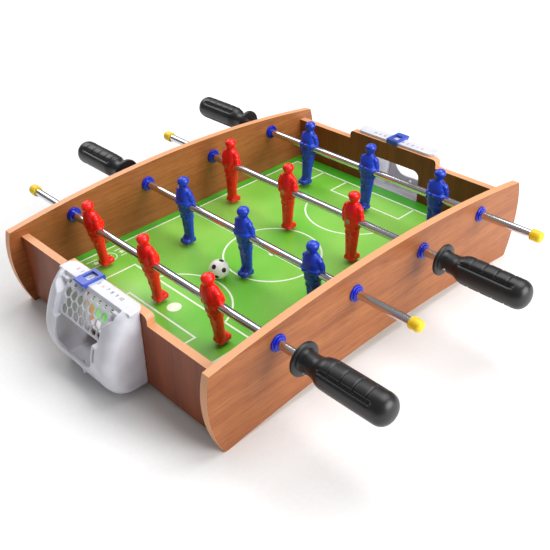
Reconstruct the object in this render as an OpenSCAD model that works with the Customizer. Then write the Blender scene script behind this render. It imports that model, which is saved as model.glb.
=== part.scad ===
// Tabletop football game: a wooden box with four playing rods and two clip-on goals.
// Millimetres, +Z up. The origin is on the floor under the middle of the pitch.
// The rods run along Y, the goals close the box at -X and +X.

/* [Frame] */
// Length of a side board at its widest point
table_l = 432; // [384:1:516]
// Width across the outer faces of the side boards
table_w = 310; // [270:1:372]
// Thickness of the side boards and end boards
board_t = 8; // [7:0.5:9.5]
// Height of a side board above the rods at mid length
rod_cover = 24.3; // [22:0.1:34]
// How far the top edge falls from the middle to the ends
top_fall = 16.2; // [8:0.1:17]
// Rise of the arch cut into the bottom edge
arch_rise = 13; // [6:0.5:14]
// Distance from the widest point of a side board to the outer face of an end board
end_inset = 15; // [13:0.5:18]
// Width of the raised middle of an end board
crown_w = 125; // [120:1:140]
// Diameter of the wooden dowels in the corner joints
dowel_d = 5; // [4:0.5:6]

/* [Pitch] */
// Height of the playing surface above the floor
pitch_z = 28; // [28:0.5:34]
// Thickness of the pitch board
pitch_t = 3; // [2.5:0.5:4]
// Gap between the soles and the playing surface
foot_gap = 2.9; // [2:0.1:5]
// Diameter of the ball
ball_d = 20.5; // [18:0.5:24]
// Position of the ball along the pitch
ball_x = -68; // [-71:0.5:-67]
// Position of the ball across the pitch
ball_y = 6; // [5.5:0.5:10]

/* [Rods] */
// Diameter of a rod
rod_d = 8; // [7:0.5:9]
// Wall of a rod
rod_wall = 0.8; // [0.6:0.1:1.2]
// Running clearance between a shaft and its hole, on the radius
fit = 0.05; // [0.03:0.01:0.1]
// Diameter of a bushing's flange
flange_d = 16; // [15:0.5:18]
// Thickness of a bushing's flange
flange_t = 2; // [1.5:0.1:2.5]
// Height of the hub on a bushing's flange
hub_t = 1.5; // [1:0.1:2]
// How far rod 1 is pushed from its middle position
slide_1 = 17; // [-30:0.5:30]
// How far rod 2 is pushed from its middle position
slide_2 = -12; // [-14:0.5:-10]
// How far rod 3 is pushed from its middle position
slide_3 = 22.5; // [-30:0.5:30]
// How far rod 4 is pushed from its middle position
slide_4 = -10; // [-30:0.5:30]
// Turn of rod 1, heads towards +X
spin_1 = -6; // [-30:1:30]
// Turn of rod 2, heads towards +X
spin_2 = -1; // [-2:1:0]
// Turn of rod 3, heads towards +X
spin_3 = 3; // [-30:1:30]
// Turn of rod 4, heads towards +X
spin_4 = 6; // [-30:1:30]

/* [Handles] */
// Length of a handle
handle_l = 90; // [84:1:104]
// Diameter of the grip
grip_d = 27; // [25:0.5:30]
// Diameter of the collar against the hand
collar_d = 30.5; // [29:0.5:34]
// Diameter of the neck between collar and grip
neck_d = 19; // [17:0.5:20]
// Side board to collar with a red rod in its middle position
reach_red = 44.5; // [42:0.5:50]
// Side board to collar with a blue rod in its middle position
reach_blue = 42; // [42:0.5:50]
// Side board to end cap with a rod in its middle position
cap_reach = 47.5; // [46:0.5:56]
// Diameter of an end cap
cap_d = 11.4; // [10.6:0.1:13]
// Length of an end cap
cap_l = 12; // [11:0.5:15]

/* [Goals] */
// Width of the goal mouth
mouth_w = 82; // [74:1:88]
// Height of the goal mouth above the pitch
mouth_h = 37.5; // [34:0.5:38]
// Half the width of a goal where it meets the end board, at the top
goal_half = 54.5; // [53:0.5:58]
// Corner radius of a goal seen from above
goal_r = 15; // [12:0.5:16]
// Spacing of the holes in a goal's net panel
net_pitch = 9.2; // [8.6:0.1:9.2]

/* [Scoring] */
// Width of a score slider
slider_w = 15.2; // [13:0.2:18]
// Position of the left slider along its scale
score_left = 15; // [-35:0.5:35]
// Position of the right slider along its scale
score_right = 0; // [-35:0.5:35]

/* [Hidden] */
eps = 0.01;

// Frame
half_l = table_l / 2;
end_x = half_l - end_inset;
inner_x = end_x - board_t;
outer_y = table_w / 2;
inner_y = outer_y - board_t;
// Rod spacing lets neighbouring players pass and the last one clear the end board
rod_pitch = (inner_x - 5) / 2;
foot_reach = rod_pitch / 2 - 0.6;
figure_scale = foot_reach / 46.4;
rod_z = pitch_z + foot_gap + foot_reach;
board_h = rod_z + rod_cover;
end_bottom = 7.5;
crown_z = rod_z + 9.7;
foot_out = half_l - 13.2;
foot_in = half_l - 18;
mouth_r = 8.5;
batten = 10;

// Corner joints and goal screws
dowel_in_end = 14;
dowel_in_side = 5;
dowel_z = [end_bottom + 16, rod_z - 13];
goal_screw_y = 43;
goal_screw_z = 18;
goal_screw_d = 3;
goal_screw_l = 9;

// Rods and what is on them
player_gap = 0.313 * (table_w - 2 * board_t);
sleeve_d = rod_d + 2.4;
hub_d = sleeve_d + 2;
collar_t = 3.5;
handle_bore = 62;
cap_bore = 9;
screw_d = 2.2;
screw_head_d = 4.4;
screw_head_t = 1.5;
screw_in = 3.6;
player_back = 6.2;
handle_screw_y = 9.5;
handle_screw_turn = -25;

// Goals: outline of the side view as [height, depth from the end board]
goal_foot = 8;
bar_t = 3;
goal_top = crown_z + bar_t;
bar_in = 5.5;
bar_out = 10.5;
goal_stretch = (goal_top - goal_foot) / 82;
shell = [
  for (p = [[8, 29.5], [12, 32.3], [18, 35.6], [25, 37.9], [33, 39.3], [40, 39.7], [47, 38.7],
            [54, 36.6], [62, 33.7], [70, 30.4], [77, 27], [83, 22.6], [88, 17.4], [90, 10.5]])
    [goal_foot + (p[0] - 8) * goal_stretch, p[1]]
];
net = [
  for (p = [[87, bar_out], [83, 15.5], [77, 20.8], [70, 24.4], [62, 27.7], [58, 29.3]])
    [goal_foot + (p[0] - 8) * goal_stretch, p[1]]
];
net_t = 2.4;
lip_t = 3;
tray_z = 11;
sill_in = 3;
tray_half = 34.5;
net_half = 35;
bar_half = 44;
net_foot = net[5][0];
rib_t = 2.4;
rib_h = 15;
cheek_in = mouth_w / 2 + 0.6;
cheek_w = 6;
cheek_d = 20;
cheek_z = 30;
slider_rise = 2.9;
slider_wall = 2.8;
slider_gap = 0.3;

function rod_x(i) = (i - 2.5) * rod_pitch;
function slide(i) = [slide_1, slide_2, slide_3, slide_4][i - 1];
function spin(i) = [spin_1, spin_2, spin_3, spin_4][i - 1];
function is_red(i) = i % 2 == 1;
function reach(i) = outer_y + (is_red(i) ? reach_red : reach_blue);
function arc(x, y, r, a, b, n = 8) =
  [for (i = [0:n]) let (t = a + (b - a) * i / n) [x + r * cos(t), y + r * sin(t)]];
function bezier(a, b, c, d, n = 12) =
  [for (i = [0:n]) let (t = i / n, s = 1 - t)
    s * s * s * a + 3 * s * s * t * b + 3 * s * t * t * c + t * t * t * d];
function reversed(v) = [for (i = [len(v) - 1:-1:0]) v[i]];
function left_half(v) = [for (p = reversed(v)) [-p[0], p[1]]];
function depth(z) = lookup(z, shell);

// A level ring of points round an ellipse, squared up as e falls below 1
function ring(x, y, z, a, b, n = 12, e = 0.85) =
  [for (i = [0:n - 1]) let (t = 360 * (i + 0.5) / n, c = cos(t), s = sin(t))
    [x + a * sign(c) * pow(abs(c), e), y + b * sign(s) * pow(abs(s), e), z]];

// Solid skin over level rings that hold the same number of points, lowest ring first
module skin(rings) {
  n = len(rings[0]);
  m = len(rings);
  sides = [for (i = [0:m - 2], j = [0:n - 1])
    let (a = i * n + j, b = i * n + (j + 1) % n) each [[a, a + n, b + n], [a, b + n, b]]];
  base = [for (j = [0:n - 1]) j];
  lid = [for (j = [n - 1:-1:0]) (m - 1) * n + j];
  polyhedron([for (r = rings) each r], concat([base, lid], sides), convexity = 6);
}

// Extrude an outline drawn in X and Z from y = 0 to y = h
module along_y(h) {
  translate([0, h, 0]) rotate([90, 0, 0]) linear_extrude(h) children();
}

// Extrude an outline drawn in Y and Z from x = 0 to x = h
module along_x(h) {
  rotate([90, 0, 90]) linear_extrude(h) children();
}

// Round bar or hole along +Y from y = 0
module round_y(d, h) {
  rotate([-90, 0, 0]) cylinder(d = d, h = h, $fn = 48);
}

// Round bar or hole along +X from x = 0
module round_x(d, h) {
  rotate([0, 90, 0]) cylinder(d = d, h = h, $fn = 32);
}

// A rod's own frame at rest: handle towards -Y, players facing +X
module at_rod(i) {
  translate([rod_x(i), slide(i), rod_z]) rotate([0, spin(i), 0])
    rotate([0, 0, is_red(i) ? 0 : 180]) children();
}

// ---- Frame ----

// Side board outline: arched foot, bulging ends, crowned top
module side_outline() {
  arch = [for (i = [-12:12]) let (x = foot_in * i / 12) [x, arch_rise * (1 - pow(i / 12, 2))]];
  end = bezier([foot_out + 0.8, 1], [half_l + 3.5, 0.354 * board_h], [half_l + 2, 0.66 * board_h],
               [half_l - 4.2, board_h - top_fall]);
  top = [for (i = [11:-1:-11])
    [(half_l - 4.2) * i / 12, board_h - top_fall * pow(i / 12, 2)]];
  polygon(concat(arch, [[foot_out, 0]], end, top, left_half(end), [[-foot_out, 0]]));
}

// The far side board; the near one is its mirror image
module side_board() {
  color("peru") difference() {
    translate([0, inner_y, 0]) along_y(board_t) side_outline();
    for (i = [1:4])
      translate([rod_x(i), inner_y - 1, rod_z]) round_y(sleeve_d + 2 * fit, board_t + 2);
    for (s = [-1, 1], z = dowel_z)
      translate([s * (end_x - board_t / 2), inner_y - 1, z])
        round_y(dowel_d + 2 * fit, dowel_in_side + 1 + fit);
  }
}
module side_board_far() { side_board(); }
module side_board_near() { mirror([0, 1, 0]) side_board(); }

// End board outline: level shoulders, raised middle with round corners, goal mouth
module end_outline() {
  r = 4.5;
  crown = arc(crown_w / 2 - r, crown_z - r, r, 0, 90);
  mouth = arc(mouth_w / 2 - mouth_r, pitch_z + mouth_h - mouth_r, mouth_r, 0, 90);
  difference() {
    polygon(concat([[-inner_y, end_bottom], [inner_y, end_bottom], [inner_y, rod_z],
                    [crown_w / 2, rod_z]], crown, left_half(crown),
                   [[-crown_w / 2, rod_z], [-inner_y, rod_z]]));
    polygon(concat([[-mouth_w / 2, pitch_z - lip_t], [mouth_w / 2, pitch_z - lip_t]],
                   mouth, left_half(mouth)));
  }
}

// The right end board; the left one is the same board turned round
module end_board() {
  color("peru") difference() {
    translate([inner_x, 0, 0]) along_x(board_t) end_outline();
    for (s = [-1, 1], z = dowel_z)
      translate([end_x - board_t / 2, s < 0 ? -inner_y - 1 : inner_y - dowel_in_end - fit, z])
        round_y(dowel_d + 2 * fit, dowel_in_end + 1 + fit);
    for (s = [-1, 1])
      translate([inner_x - 1, s * goal_screw_y, goal_screw_z])
        round_x(goal_screw_d + 2 * fit, board_t + 2);
  }
}
module end_board_right() { end_board(); }
module end_board_left() { rotate([0, 0, 180]) end_board(); }

module pitch_board() {
  color("limegreen") translate([-inner_x, -inner_y, pitch_z - pitch_t])
    cube([2 * inner_x, 2 * inner_y, pitch_t]);
}

// Square strip glued along a side board to carry the pitch
module pitch_batten(s) {
  color("burlywood")
    translate([8 - inner_x, s > 0 ? inner_y - batten : -inner_y, pitch_z - pitch_t - batten])
    cube([2 * inner_x - 16, batten, batten]);
}
module batten_near() { pitch_batten(-1); }
module batten_far() { pitch_batten(1); }

module corner_dowels() {
  color("tan") for (sx = [-1, 1], sy = [-1, 1], z = dowel_z)
    translate([sx * (end_x - board_t / 2), sy > 0 ? inner_y - dowel_in_end : -inner_y - dowel_in_side, z])
      round_y(dowel_d, dowel_in_end + dowel_in_side);
}

// ---- Goals ----

// One level slice of the shell, open straight along the end board and round at the front
function goal_slice(z) =
  let (d = depth(z), w = goal_half - 4.1 * (goal_top - z) / (goal_top - goal_foot), r = min(goal_r, d - 1))
  concat([[0, -w, z]],
         [for (p = arc(d - r, r - w, r, -90, 0, 5)) [p[0], p[1], z]],
         [for (p = arc(d - r, w - r, r, 0, 90, 5)) [p[0], p[1], z]],
         [[0, w, z]]);

// Plate over the end board's crown that carries the score scale
module goal_bar() {
  r = 9;
  inner = arc(r - bar_in, goal_half - r, r, 180, 90);
  translate([0, 0, crown_z]) linear_extrude(bar_t)
    polygon(concat([[bar_out, -goal_half], [bar_out, goal_half]], reversed(inner),
                   [for (p = inner) [p[0], -p[1]]]));
}

// The ball drops behind the mouth into this tray, under the net panel
module goal_tray() {
  low = [for (p = shell) if (p[0] > tray_z && p[0] < net_foot - 4) [p[1] - lip_t, p[0]]];
  high = [for (p = reversed(net)) [p[1] - net_t, p[0]]];
  translate([0, -tray_half, 0]) along_y(2 * tray_half)
    polygon(concat([[-1, tray_z], [depth(tray_z) - lip_t, tray_z]], low,
                   [[depth(net_foot - 4) - lip_t, net_foot - 4]], high, [[-1, crown_z]]));
}

// Hollow between the shell and the net panel, as wide as the bar at its top
module net_recess() {
  rim = goal_top + 1;
  flare = net[2][0];
  intersection() {
    translate([0, -bar_half, 0]) along_y(2 * bar_half)
      polygon(concat([for (p = net) [p[1], p[0]]],
                     [[60, net_foot], [60, rim], [bar_out, rim]]));
    translate([-1, 0, 0]) along_x(70)
      polygon([[-net_half, net_foot], [net_half, net_foot], [net_half, flare],
               [bar_half, flare + 7], [bar_half, rim], [-bar_half, rim],
               [-bar_half, flare + 7], [-net_half, flare]]);
  }
}

// Slots under the bar, then three staggered rows of six-sided holes
module net_holes() {
  for (k = [0:7])
    translate([net[1][1] - 2, (k - 3.5) * net_pitch, net[1][0] + 1.6]) rotate([0, -40, 0])
      translate([-6, -1.5, -1.6]) cube([14, 3, 3.2]);
  for (row = [0:2], k = [-3:3])
    if (row != 1 || k > -3)
      translate([net[row + 2][1], (k - (row == 1 ? 0.5 : 0)) * net_pitch, net[row + 2][0] - 1])
        rotate([0, 62, 0]) cylinder(r = 3.3, h = 14, center = true, $fn = 6);
}

// Opening in the front of the tray where the ball is taken out, and a small slot beside it
module tray_window() {
  low = tray_z + 17;
  top = net_foot + 0.5;
  translate([22, 0, 0]) along_x(30)
    polygon([[-31, top], [-31, low + 6], [-27, low + 2], [10, low], [16, low + 1],
             [27, low + 12], [27, top]]);
  translate([22, 29.6, top - 15]) cube([30, 2.2, 12]);
}

// Sill that fills the foot of the mouth, level with the pitch
module goal_sill() {
  translate([-board_t, fit - mouth_w / 2, pitch_z - lip_t + fit])
    cube([board_t + sill_in, mouth_w - 2 * fit, lip_t - fit]);
}

// Rib that stiffens the tray's front wall
module tray_rib() {
  translate([depth(20) - lip_t - 2, -rib_t / 2, tray_z - 1]) cube([3, rib_t, rib_h]);
}

// The right goal, one moulding; the left one is the same moulding turned round
module goal() {
  color("whitesmoke") translate([end_x, 0, 0]) difference() {
    union() {
      difference() {
        skin([for (p = shell) goal_slice(p[0])]);
        goal_tray();
        net_recess();
        tray_window();
        // Hollow cheeks
        for (s = [-1, 1])
          translate([-1, s > 0 ? cheek_in : -cheek_in - cheek_w, cheek_z])
            cube([cheek_d, cheek_w, goal_top - cheek_z - 20]);
      }
      goal_bar();
      goal_sill();
      tray_rib();
    }
    net_holes();
    for (s = [-1, 1])
      translate([-1, s * goal_screw_y, goal_screw_z])
        round_x(goal_screw_d + 2 * fit, goal_screw_l + 1 + fit);
  }
}
module goal_right() { goal(); }
module goal_left() { rotate([0, 0, 180]) goal(); }

module goal_screws() {
  color("silver") for (sx = [0, 180], sy = [-1, 1]) rotate([0, 0, sx])
    translate([inner_x, sy * goal_screw_y, goal_screw_z]) {
      translate([-2, 0, 0]) round_x(6, 2);
      translate([-eps, 0, 0]) round_x(goal_screw_d, board_t + goal_screw_l + eps);
    }
}

// Frame with a window that clips over the goal's bar and slides along its scale
module score_slider(y) {
  plate_z = goal_top + slider_gap;
  tip = goal_top + slider_rise;
  hook = crown_z + slider_gap;
  color("royalblue") translate([end_x, y - slider_w / 2, 0]) difference() {
    along_y(slider_w)
      polygon([[-board_t, hook], [-bar_in - 0.4, hook], [-bar_in - 0.4, plate_z],
               [bar_out + 0.4, plate_z], [bar_out + 0.4, goal_top - 2],
               [bar_out + 2.4, goal_top - 2], [bar_out + 5, tip - 0.8], [bar_out + 4, tip],
               [0.8 - board_t, tip], [-board_t, tip - 0.8]]);
    translate([slider_wall - 6.5, slider_wall, goal_top - 1])
      cube([bar_out + 3.5 - slider_wall, slider_w - 2 * slider_wall, 6]);
  }
}
module score_slider_right() { score_slider(score_right); }
module score_slider_left() { rotate([0, 0, 180]) score_slider(-score_left); }

// ---- Rods ----

// Flanged sleeve in the far side board, flange outside
module sleeve(i, s) {
  color("mediumblue") translate([rod_x(i), 0, rod_z]) rotate([0, 0, s > 0 ? 0 : 180])
    difference() {
      union() {
        translate([0, inner_y - flange_t - hub_t, 0])
          round_y(sleeve_d, board_t + flange_t + hub_t + eps);
        translate([0, outer_y, 0]) rotate([-90, 0, 0]) rotate_extrude($fn = 48)
          polygon(concat([[0, 0], [flange_d / 2, 0]], arc(flange_d / 2 - 0.7, flange_t - 0.7, 0.7, 0, 90, 3),
                         [[hub_d / 2, flange_t]],
                         arc(hub_d / 2 - 0.5, flange_t + hub_t - 0.5, 0.5, 0, 90, 2),
                         [[0, flange_t + hub_t]]));
      }
      translate([0, inner_y - 20, 0]) round_y(rod_d + 2 * fit, board_t + 40);
    }
}

// Rings pushed over the two sleeve ends inside the box
module sleeve_rings(i) {
  color("mediumblue") translate([rod_x(i), 0, rod_z]) for (a = [0, 180]) rotate([0, 0, a])
    translate([0, inner_y, 0]) rotate([90, 0, 0]) rotate_extrude($fn = 48)
      polygon(concat([[sleeve_d / 2 + fit, 0], [flange_d / 2, 0]],
                     arc(flange_d / 2 - 0.7, flange_t - 0.7, 0.7, 0, 90, 3),
                     [[hub_d / 2 + 0.6, flange_t], [hub_d / 2 + 0.6, flange_t + hub_t],
                      [sleeve_d / 2 + fit, flange_t + hub_t]]));
}

// Steel tube with pilot holes for the player screws and the handle screw
module rod(i) {
  start = reach(i) + handle_bore - 2;
  finish = outer_y + cap_reach + cap_bore;
  color("silver") at_rod(i) difference() {
    translate([0, -start, 0]) round_y(rod_d, start + finish);
    translate([0, -start - 1, 0]) round_y(rod_d - 2 * rod_wall, start + finish + 2);
    for (k = [-1:1]) translate([-rod_d, k * player_gap, 0]) round_x(screw_d + 2 * fit, rod_d);
    translate([0, -reach(i) - handle_screw_y, 0]) rotate([0, handle_screw_turn, 0])
      translate([-rod_d, 0, 0]) round_x(screw_d + 2 * fit, rod_d);
  }
}

// Side view of a handle from its collar, radius against length
module handle_profile() {
  edge = 1.2;
  tip = 11;
  polygon(concat(
    [[0, 0]],
    arc(collar_d / 2 - edge, edge, edge, -90, 0, 4),
    arc(collar_d / 2 - edge, collar_t - edge, edge, 0, 90, 4),
    [[neck_d / 2 + 0.8, collar_t + 0.4], [neck_d / 2, collar_t + 2.5], [neck_d / 2, 17]],
    bezier([neck_d / 2, 17], [neck_d / 2 + 1, 21], [grip_d / 2, 23], [grip_d / 2, 29], 6),
    bezier([grip_d / 2, handle_l - tip], [grip_d / 2, handle_l - 4], [grip_d / 2 - 4, handle_l],
           [0, handle_l], 8)));
}

module handle(i) {
  grooves = 4;
  first = 33.5;
  step = (handle_l - 7.5 - first) / grooves;
  color("dimgray") at_rod(i) translate([0, -reach(i), 0]) difference() {
    rotate([90, 0, 0]) rotate_extrude($fn = 64) handle_profile();
    translate([0, -handle_bore, 0]) round_y(rod_d + 2 * fit, handle_bore + 1);
    // Ring grooves round the grip
    for (k = [0:grooves - 1]) translate([0, -first - k * step, 0]) rotate([90, 0, 0])
      difference() {
        cylinder(d = grip_d + 2, h = 1.2, $fn = 64);
        translate([0, 0, -1]) cylinder(d = grip_d - 1.6, h = 4, $fn = 64);
      }
    // Finger flutes along the grip
    for (a = [30:60:330]) rotate([0, a, 0])
      translate([grip_d / 2 + 0.6, 12 - handle_l, 0]) round_y(4, handle_l - 12 - 24);
    // Countersunk hole for the screw into the rod
    translate([0, -handle_screw_y, 0]) rotate([0, handle_screw_turn, 0]) {
      translate([-neck_d, 0, 0]) round_x(screw_d + 0.2, neck_d);
      translate([-neck_d, 0, 0]) round_x(screw_head_d + 0.4, neck_d / 2 + 0.9);
    }
  }
}

// Round-ended cap on the rod's far end
module end_cap(i) {
  r = 4;
  color("gold") at_rod(i) translate([0, outer_y + cap_reach, 0]) difference() {
    rotate([-90, 0, 0]) rotate_extrude($fn = 48)
      polygon(concat([[0, 0]], arc(cap_d / 2 - 0.8, 0.8, 0.8, -90, 0, 3),
                     arc(cap_d / 2 - r, cap_l - r, r, 0, 90, 6), [[0, cap_l]]));
    translate([0, -1, 0]) round_y(rod_d + 2 * fit, cap_bore + 1 + fit);
  }
}

// Pan-head screw along +X, its head's underside at x = 0
module screw() {
  difference() {
    union() {
      translate([-screw_head_t, 0, 0]) round_x(screw_head_d, screw_head_t);
      translate([-eps, 0, 0]) round_x(screw_d, screw_in + eps);
    }
    for (a = [0, 90]) rotate([a, 0, 0])
      translate([-screw_head_t - 1, -1.4, -0.3]) cube([1.7, 2.8, 0.6]);
  }
}
module player_screws(i) {
  color("gainsboro") at_rod(i) for (k = [-1:1])
    translate([-player_back * figure_scale, k * player_gap, 0]) screw();
}
module handle_screw(i) {
  color("gainsboro") at_rod(i) translate([0, -reach(i) - handle_screw_y, 0])
    rotate([0, handle_screw_turn, 0]) translate([-neck_d / 2 + 0.9, 0, 0]) {
      screw();
      round_x(screw_d, neck_d / 2 - rod_d / 2 + rod_wall);
    }
}

// ---- Players ----

// Trunk and legs as [forward, height, half depth, half width]
trunk = [
  [0.2, -43, 4.6, 5.9], [0, -37, 4.6, 5.3], [0, -28, 5.2, 5.8], [0, -18, 6.0, 6.8],
  [0, -9.5, 6.5, 7.5], [0, -8, 7.0, 8.2], [0.2, 0, 7.2, 8.8], [0.3, 7, 7.3, 9.6],
  [0.3, 13, 6.6, 9.9], [0.1, 16.6, 5.0, 8.4], [0, 18.8, 3.4, 4.8], [0.2, 21, 3.2, 3.5]
];
boot = [
  [0.8, -46.3, 4.6, 5.4], [1.8, -45.3, 7.2, 6.7], [2.2, -43.4, 8.1, 7.1],
  [1.9, -40.4, 7.6, 6.8], [0.6, -38, 6.0, 6.2], [0.1, -36, 4.8, 5.5]
];
upper_arm = [
  [1.4, 2.0, 9.6, 1.6, 1.3], [0.9, 3.4, 10.2, 3.0, 2.1], [-0.2, 7, 10.5, 3.2, 2.4],
  [-0.2, 11.5, 10.1, 3.2, 2.5], [0, 14.8, 9.2, 3.2, 2.2], [0, 16.6, 8.2, 2.0, 1.4]
];

// Figure facing +X that turns about the Y axis, arms folded to the front
module figure() {
  k = figure_scale;
  skin([for (p = trunk) k * ring(p[0], 0, p[1], p[2], p[3])]);
  skin([for (p = boot) k * ring(p[0], 0, p[1], p[2], p[3])]);
  for (s = [-1, 1]) {
    skin([for (p = upper_arm) k * ring(p[0], s * p[2], p[1], p[3], p[4], 8, 1)]);
    translate(k * [1.4, s * 9.6, 4]) rotate([s * 43, 62, 0])
      skin([for (p = [[0, 2.4], [3.5, 2.4], [7, 2], [8.2, 1.1]]) k * ring(0, 0, p[0], p[1], p[1], 8, 1)]);
  }
  translate(k * [0.3, 0, 25.9]) sphere(r = k * 5.9, $fn = 36);
}

module player(i, row) {
  color(is_red(i) ? "red" : "blue") at_rod(i) translate([0, row * player_gap, 0]) difference() {
    figure();
    translate([0, -20, 0]) round_y(rod_d + 2 * fit, 40);
    translate([-15, 0, 0]) round_x(screw_d + 0.2, 15);
    translate([-15, 0, 0]) round_x(screw_head_d + 0.4, 15 - player_back * figure_scale);
  }
}

module ball() {
  color("white") translate([ball_x, ball_y, pitch_z + 0.3 + ball_d / 2]) sphere(d = ball_d, $fn = 48);
}

side_board_near();
side_board_far();
end_board_left();
end_board_right();
pitch_board();
batten_near();
batten_far();
corner_dowels();
goal_left();
goal_right();
goal_screws();
score_slider_left();
score_slider_right();
sleeve(1, -1);  // bushing_1_near
sleeve(1, 1);  // bushing_1_far
sleeve_rings(1);  // bushing_rings_1
rod(1);  // rod_1
handle(1);  // handle_1
end_cap(1);  // end_cap_1
player(1, -1);  // player_1_near
player(1, 0);  // player_1_middle
player(1, 1);  // player_1_far
player_screws(1);  // player_screws_1
handle_screw(1);  // handle_screw_1
sleeve(2, -1);  // bushing_2_near
sleeve(2, 1);  // bushing_2_far
sleeve_rings(2);  // bushing_rings_2
rod(2);  // rod_2
handle(2);  // handle_2
end_cap(2);  // end_cap_2
player(2, 1);  // player_2_near
player(2, 0);  // player_2_middle
player(2, -1);  // player_2_far
player_screws(2);  // player_screws_2
handle_screw(2);  // handle_screw_2
sleeve(3, -1);  // bushing_3_near
sleeve(3, 1);  // bushing_3_far
sleeve_rings(3);  // bushing_rings_3
rod(3);  // rod_3
handle(3);  // handle_3
end_cap(3);  // end_cap_3
player(3, -1);  // player_3_near
player(3, 0);  // player_3_middle
player(3, 1);  // player_3_far
player_screws(3);  // player_screws_3
handle_screw(3);  // handle_screw_3
sleeve(4, -1);  // bushing_4_near
sleeve(4, 1);  // bushing_4_far
sleeve_rings(4);  // bushing_rings_4
rod(4);  // rod_4
handle(4);  // handle_4
end_cap(4);  // end_cap_4
player(4, 1);  // player_4_near
player(4, 0);  // player_4_middle
player(4, -1);  // player_4_far
player_screws(4);  // player_screws_4
handle_screw(4);  // handle_screw_4
ball();
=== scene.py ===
"""Looks of the tabletop football game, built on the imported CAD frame.

Every class below dresses or builds one sub-assembly. Lengths inside the classes are in millimetres, because
the real pieces are sized that way, and are turned to metres where a mesh is made.
"""

from __future__ import annotations

import logging
import math
from dataclasses import dataclass, field
from enum import Enum
from typing import Any, Callable, Iterable, Sequence

import bmesh
import bpy
from mathutils import Euler, Matrix, Quaternion, Vector


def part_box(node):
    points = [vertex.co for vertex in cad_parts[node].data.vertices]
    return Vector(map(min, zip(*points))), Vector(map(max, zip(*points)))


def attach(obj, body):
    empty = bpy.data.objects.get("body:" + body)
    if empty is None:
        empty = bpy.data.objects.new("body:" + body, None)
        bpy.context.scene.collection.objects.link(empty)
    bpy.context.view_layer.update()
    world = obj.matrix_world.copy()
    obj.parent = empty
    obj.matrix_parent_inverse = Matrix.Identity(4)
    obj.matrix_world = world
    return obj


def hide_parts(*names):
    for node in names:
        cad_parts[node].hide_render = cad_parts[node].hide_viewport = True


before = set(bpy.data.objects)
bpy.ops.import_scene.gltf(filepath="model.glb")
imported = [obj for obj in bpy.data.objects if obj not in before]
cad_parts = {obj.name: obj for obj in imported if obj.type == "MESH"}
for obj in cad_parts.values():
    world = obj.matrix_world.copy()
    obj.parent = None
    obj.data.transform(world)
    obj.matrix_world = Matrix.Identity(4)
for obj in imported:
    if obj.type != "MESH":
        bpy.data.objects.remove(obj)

LOG = logging.getLogger("table_football")
MM = 0.001
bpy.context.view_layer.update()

Point2 = tuple[float, float]
Point3 = tuple[float, float, float]


# ---------------------------------------------------------------- helpers


def linear(hex_code: str, alpha: float = 1.0) -> tuple[float, float, float, float]:
    """Turn an sRGB hex colour into linear values.

    Args:
        hex_code: Six hex digits, with or without a leading #.
        alpha: Opacity of the colour.

    Returns:
        Linear red, green, blue and alpha.
    """
    digits = hex_code.lstrip("#")
    channels = [int(digits[i : i + 2], 16) / 255 for i in (0, 2, 4)]
    r, g, b = (c / 12.92 if c <= 0.04045 else ((c + 0.055) / 1.055) ** 2.4 for c in channels)
    return (r, g, b, alpha)


def add_node(
    tree: bpy.types.NodeTree,
    kind: str,
    settings: dict[str, Any] | None = None,
    inputs: dict[int | str, Any] | None = None,
    stops: Sequence[tuple[float, str]] = (),
) -> bpy.types.Node:
    """Add one shader node with its settings, its values and its links.

    Args:
        tree: Node tree to add to.
        kind: Node type, such as ShaderNodeTexNoise.
        settings: Properties of the node.
        inputs: Socket name or number, with a value or an output socket to link.
        stops: Positions and hex colours, for a colour ramp.

    Returns:
        The new node.
    """
    node = tree.nodes.new(kind)
    for key, value in (settings or {}).items():
        setattr(node, key, value)
    for key, value in (inputs or {}).items():
        if isinstance(value, bpy.types.NodeSocket):
            tree.links.new(value, node.inputs[key])
        else:
            node.inputs[key].default_value = value
    if stops:
        ramp = node.color_ramp
        while len(ramp.elements) < len(stops):
            ramp.elements.new(0.5)
        for element, (position, colour) in zip(ramp.elements, stops):
            element.position = position
            element.color = linear(colour)
    return node


def per_metre(size_mm: float) -> float:
    """Pattern scale whose features are about size_mm across, for coordinates in metres."""
    return 1000.0 / size_mm


def new_object(name: str, mesh: bpy.types.Mesh) -> bpy.types.Object:
    """Link a new mesh object to the scene and return it."""
    piece = bpy.data.objects.new(name, mesh)
    bpy.context.scene.collection.objects.link(piece)
    return piece


def mesh_from(
    name: str, points: Iterable[Sequence[float]], faces: Iterable[Sequence[int]]
) -> bpy.types.Mesh:
    """Make a mesh from points in millimetres and faces.

    Args:
        name: Name of the mesh.
        points: Corners in millimetres.
        faces: Corner numbers of each face.

    Returns:
        A mesh in metres with its faces turned outwards.
    """
    mesh = bpy.data.meshes.new(name)
    mesh.from_pydata([tuple(c * MM for c in p) for p in points], [], [tuple(f) for f in faces])
    turned = bmesh.new()
    turned.from_mesh(mesh)
    bmesh.ops.recalc_face_normals(turned, faces=turned.faces)
    turned.to_mesh(mesh)
    turned.free()
    return mesh


def shade(piece: bpy.types.Object, angle: float = 35.0) -> None:
    """Shade a mesh smooth, with edges steeper than angle degrees kept sharp."""
    piece.data.shade_smooth()
    piece.data.set_sharp_from_angle(angle=math.radians(angle))


def bake(piece: bpy.types.Object) -> None:
    """Replace an object's mesh by its modified mesh and drop the modifiers."""
    graph = bpy.context.evaluated_depsgraph_get()
    result = bpy.data.meshes.new_from_object(piece.evaluated_get(graph))
    piece.modifiers.clear()
    piece.data = result


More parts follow.
